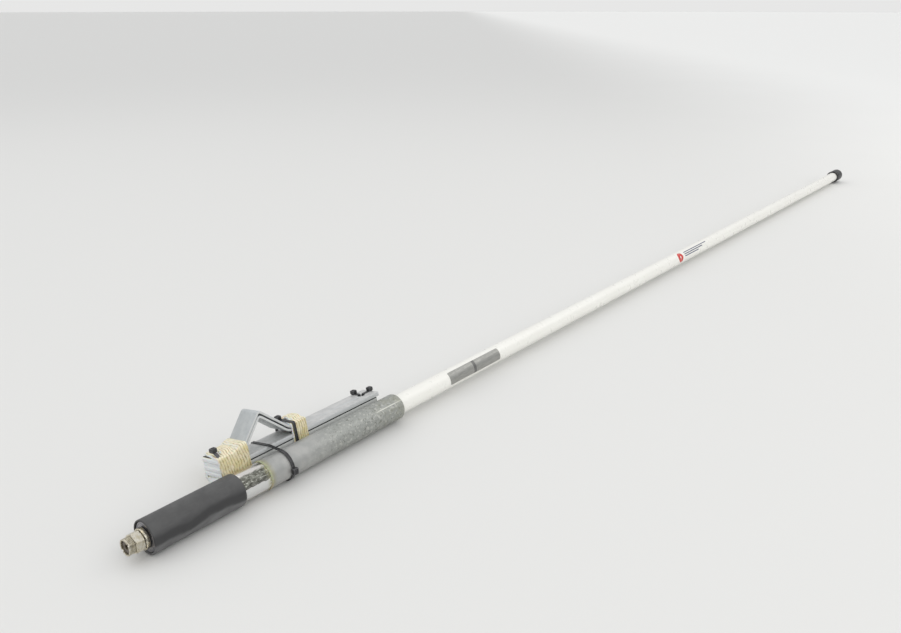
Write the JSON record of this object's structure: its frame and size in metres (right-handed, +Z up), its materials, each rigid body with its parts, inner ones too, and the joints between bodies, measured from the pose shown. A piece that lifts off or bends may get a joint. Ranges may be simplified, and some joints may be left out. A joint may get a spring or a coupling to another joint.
{
  "type": "whip antenna",
  "caption": "Long fibreglass whip antenna lying on its side, with a coaxial base socket, sliding base sleeve, metal mounting tube and a strapped-on steel mast bracket kit.",
  "frame": {"origin": "on the antenna's axis at the front face of the coaxial socket", "axes": "+X along the antenna's axis from the socket to the tip, +Z up as it lies on the floor, +Y towards the strapped bracket kit"},
  "size_m": [2.143, 0.0754, 0.0695],
  "materials": {
    "nickel": "worn nickel plate, slightly yellowed",
    "phenolic": "dark moulded insulator",
    "gold": "plated contact metal",
    "chrome": "bright chrome with fine scratches and pitting",
    "sleeve_black": "satin black tube, lightly rubbed",
    "sealant": "yellow-green aged sealant",
    "mount_grey": "dull grey metal, mottled and scuffed",
    "bush_plastic": "off-white moulding",
    "radome_white": "off-white gelcoat on glass fibre",
    "plate_silver": "satin silver foil",
    "decal_red": "red print",
    "decal_dark": "dark blue-grey print",
    "cap_black": "black push-on cap",
    "cable_black": "black cable jacket",
    "brass_tube": "drawn brass",
    "insulator_white": "natural moulding",
    "copper_wire": "enamelled copper wire",
    "foam": "rigid foam",
    "rubber_black": "black rubber",
    "zinc_arm": "dull zinc-plated steel",
    "zinc_strap": "blue-grey zinc-plated steel",
    "zinc_bolt": "bright zinc-plated steel",
    "tape": "yellowed adhesive tape",
    "tie_black": "black nylon"
  },
  "bodies": {
    "pole": {"connector_shell": "nickel", "connector_insulator": "phenolic", "connector_contact": "gold", "connector_nut": "nickel", "connector_washer": "nickel", "connector_seal": "rubber_black", "base_plug": "chrome", "ferrule_tube": "chrome", "sealant_ring": "sealant", "mount_tube": "mount_grey", "tube_bush": "bush_plastic", "radome_tube": "radome_white", "rating_plate": "plate_silver", "decal_mark": "decal_red", "decal_bars": "decal_dark", "tip_plug": "foam", "feed_cable": "cable_black", "feed_skirt": "brass_tube", "feed_block": "insulator_white", "radiator_lower": "brass_tube", "coil_former": "insulator_white", "phasing_coil": "copper_wire", "radiator_upper": "brass_tube", "foam_spacers": "foam", "tie_pole": "tie_black"},
    "base_sleeve": {"black_sleeve": "sleeve_black"},
    "cap": {"end_cap": "cap_black"},
    "bracket_kit": {"arm_upper": "zinc_arm", "arm_lower": "zinc_arm", "v_strap_outer": "zinc_strap", "v_strap_inner": "zinc_strap", "clamp_bolts": "zinc_bolt", "clamp_nuts": "zinc_bolt", "clamp_washers": "zinc_bolt", "tape_left": "tape", "tape_right": "tape", "tie_left": "tie_black", "tie_right": "tie_black", "tie_end_side": "tie_black", "tie_end_tip": "tie_black"}
  },
  "joints": [
    {"name": "sleeve_slide", "type": "slide", "parent": "pole", "child": "base_sleeve", "axis": [1, 0, 0], "range_m": [-0.045, 0.03]},
    {"name": "cap_pull", "type": "slide", "parent": "pole", "child": "cap", "axis": [1, 0, 0], "range_m": [0, 0.05]},
    {"name": "kit_slide", "type": "slide", "parent": "pole", "child": "bracket_kit", "axis": [1, 0, 0], "range_m": [-0.027, 0.022]}
  ]
}
